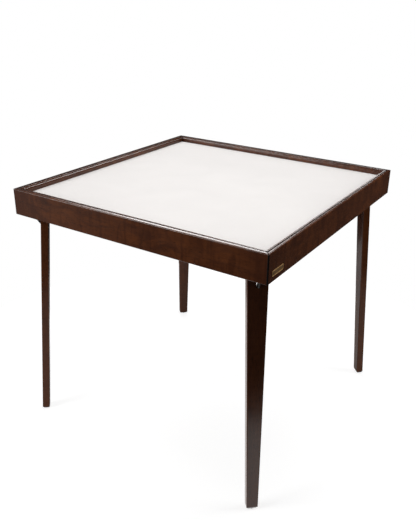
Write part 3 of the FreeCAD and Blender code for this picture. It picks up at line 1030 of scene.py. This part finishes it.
TABLE_MIDDLE = (0, 0, 0.7)
NEAR_THE_CORNER = (0.26, -0.26, 0.7)
LIGHT_ONLY = {"visible_glossy": False}
MIRRORED_ONLY = {"visible_diffuse": False}
LAMPS = (
    # name, place, what it faces, width and height, power, degrees of roll, what it is left out of
    ("left_softbox", (-1.38, -2.15, 1.25), TABLE_MIDDLE, (1.2, 1.6), 42, 0, {}),
    ("right_softbox", (2.1, 1.2, 1.3), TABLE_MIDDLE, (1.2, 1.6), 27, 0, LIGHT_ONLY),
    ("high_softbox", (-1.15, 1.2, 2.25), TABLE_MIDDLE, (1.5, 0.6), 21, 0, {}),
    ("rim_card", (-1.1, 1.7, 2.38), TABLE_MIDDLE, (1.7, 0.55), 19, 0, MIRRORED_ONLY),
    ("low_softbox", (-0.485, 2.15, 1.6), TABLE_MIDDLE, (0.9, 0.13), 2, 39, {}),
    ("top_softbox", (0.26, -0.26, 1.9), NEAR_THE_CORNER, (0.7, 0.7), 6.5, 0, LIGHT_ONLY),
)


def looking(place, aim, roll):
    """The place of a lamp or camera that looks at a point, turned on its own axis."""
    place = Vector(place)
    turn = (place - Vector(aim)).to_track_quat("Z", "Y").to_matrix().to_4x4()
    return Matrix.Translation(place) @ turn @ Matrix.Rotation(math.radians(roll), 4, "Z")


def seen_by(tree):
    """Whether a ray is seen directly, by the camera or through glass, and whether it is mirrored."""
    path = tree.nodes.new("ShaderNodeLightPath").outputs
    return sums(tree, "MAXIMUM", path["Is Camera Ray"], path["Is Transmission Ray"]), path["Is Glossy Ray"]


class PUZZLETABLE_OT_stage(bpy.types.Operator):
    """Set up the floor, the lamps, the world and the camera"""
    bl_idname = "puzzle_table.stage"
    bl_label = "Studio"

    def execute(self, context):
        self.floor()
        self.world(context.scene)
        for lamp in LAMPS:
            self.lamp(*lamp)
        self.camera(context.scene)
        context.scene.view_settings.view_transform = "Standard"
        return {"FINISHED"}

    def floor(self):
        """A round pale floor: white to the camera, with the table's shadow on it, and clear from below.

        Reflections see it dim, apart from the strip that the side of the near leg mirrors.
        """
        radius, shown_lift, mirrored_lift = 1.05, 0.76, 0.1
        strip_across, strip_along = (0.457, 0.889, 0.0), (0.889, -0.457, 0.0)
        strip_offset, strip_half, side_fade, strip_start, start_fade = 0.178, 0.08, 0.17, -0.65, 0.1
        clear_selection()
        bpy.ops.mesh.primitive_circle_add(vertices=128, radius=radius, fill_type="NGON", location=(0, 0, 0))
        floor = bpy.context.object
        floor.name = "studio_floor"
        material = bpy.data.materials.new("studio_floor")
        tree = empty_tree(material)
        end = tree.nodes.new("ShaderNodeOutputMaterial")
        lit = put(tree, "ShaderNodeBsdfDiffuse", {"Color": colour("floor")}).outputs[0]
        place = tree.nodes.new("ShaderNodeTexCoord").outputs["Object"]
        away = sums(tree, "ABSOLUTE", sums(tree, "ADD", dot(tree, place, strip_across), strip_offset))
        along = dot(tree, place, strip_along)
        strip = times(tree, spread(tree, away, strip_half, strip_half + side_fade, 1.0, 0.0),
                      spread(tree, along, strip_start - start_fade, strip_start))
        direct, glossy = seen_by(tree)
        mirrored = times(tree, glossy, sums(tree, "MAXIMUM", strip, mirrored_lift))
        lift = sums(tree, "MAXIMUM", times(tree, direct, shown_lift), mirrored)
        lift = put(tree, "ShaderNodeEmission", {"Color": (1, 1, 1, 1), "Strength": lift}).outputs[0]
        shown = put(tree, "ShaderNodeAddShader", {0: lit, 1: lift}).outputs[0]
        below = put(tree, "ShaderNodeNewGeometry").outputs["Backfacing"]
        clear = put(tree, "ShaderNodeBsdfTransparent").outputs[0]
        shown = put(tree, "ShaderNodeMixShader", {0: below, 1: shown, 2: clear}).outputs[0]
        feed(tree, end, {"Surface": shown})
        dress(floor, material)

    def world(self, scene):
        """White to the camera; as light a soft grey, dimmer from the camera's side.

        Reflections see a pale ceiling over dark walls, with a lighter patch low on the left.
        """
        camera_side, left_side = (0.707, -0.707, 0.0), (-0.9, -0.436, 0.0)
        sky, dark, low_left, ceiling = 0.26, 0.03, 0.3, 0.4
        world = bpy.data.worlds.new("studio_world")
        scene.world = world
        tree = empty_tree(world)
        end = tree.nodes.new("ShaderNodeOutputWorld")
        way = tree.nodes.new("ShaderNodeTexCoord").outputs["Generated"]
        rise = apart(tree, way)["Z"]
        soft = times(tree, spread(tree, rise, -0.1, 0.1, dark, sky),
                     spread(tree, dot(tree, way, camera_side), -0.2, 0.7, 1.0, 0.2))
        low_wall = spread(tree, dot(tree, way, left_side), 0.84, 0.93, dark, low_left)
        walls = spread(tree, rise, 0.42, 0.6, low_wall, ceiling)
        light, mirrored, shown = (
            put(tree, "ShaderNodeBackground", {"Color": (1, 1, 1, 1), "Strength": strength}).outputs[0]
            for strength in (soft, walls, 1.0))
        direct, glossy = seen_by(tree)
        mixed = put(tree, "ShaderNodeMixShader", {0: glossy, 1: light, 2: mirrored}).outputs[0]
        mixed = put(tree, "ShaderNodeMixShader", {0: direct, 1: mixed, 2: shown}).outputs[0]
        feed(tree, end, {"Surface": mixed})

    def lamp(self, name, place, aim, size, power, roll, left_out):
        """One square-cornered lamp, some only for light and some only for reflections."""
        data = bpy.data.lights.new(name, "AREA")
        data.shape = "RECTANGLE"
        data.size, data.size_y = size
        data.energy = power
        lamp = bpy.data.objects.new(name, data)
        bpy.context.scene.collection.objects.link(lamp)
        lamp.matrix_world = looking(place, aim, roll)
        for setting, value in left_out.items():
            setattr(lamp, setting, value)

    def camera(self, scene):
        """The photograph's viewpoint."""
        place, aim, roll = (0.9762, -1.5328, 1.2990), (-0.1371, 0.1908, 0.3794), 0.76
        data = bpy.data.cameras.new("camera")
        data.lens = 43.727
        data.sensor_width = 36.0
        camera = bpy.data.objects.new("camera", data)
        scene.collection.objects.link(camera)
        camera.matrix_world = looking(place, aim, roll)
        scene.camera = camera


STEPS = (
    PUZZLETABLE_OT_rails,
    PUZZLETABLE_OT_legs,
    PUZZLETABLE_OT_boards,
    PUZZLETABLE_OT_felt,
    PUZZLETABLE_OT_name_plate,
    PUZZLETABLE_OT_brackets,
    PUZZLETABLE_OT_braces,
    PUZZLETABLE_OT_bracket_screws,
    PUZZLETABLE_OT_leg_screws,
    PUZZLETABLE_OT_rivets,
    PUZZLETABLE_OT_glides,
    PUZZLETABLE_OT_stage,
)


class PUZZLETABLE_PT_sidebar(bpy.types.Panel):
    """The table's sizes, colours and steps"""
    bl_idname = "PUZZLETABLE_PT_sidebar"
    bl_label = "Puzzle Table"
    bl_space_type = "VIEW_3D"
    bl_region_type = "UI"
    bl_category = "Puzzle Table"

    def draw(self, context):
        for settings in (context.scene.puzzle_table_sizes, context.scene.puzzle_table_colours):
            column = self.layout.column()
            for name in settings.bl_rna.properties.keys():
                if name not in ("rna_type", "name"):
                    column.prop(settings, name)
        for step in STEPS:
            self.layout.operator(step.bl_idname)


CLASSES = (PuzzleTableSizes, PuzzleTableColours, *STEPS, PUZZLETABLE_PT_sidebar)


def register():
    for item in CLASSES:
        bpy.utils.register_class(item)
    bpy.types.Scene.puzzle_table_sizes = PointerProperty(type=PuzzleTableSizes)
    bpy.types.Scene.puzzle_table_colours = PointerProperty(type=PuzzleTableColours)


def unregister():
    del bpy.types.Scene.puzzle_table_colours
    del bpy.types.Scene.puzzle_table_sizes
    for item in reversed(CLASSES):
        bpy.utils.unregister_class(item)


def main():
    register()
    clear_selection()
    for step in STEPS:
        family, name = step.bl_idname.split(".")
        getattr(getattr(bpy.ops, family), name)()


if __name__ == "__main__":
    main()
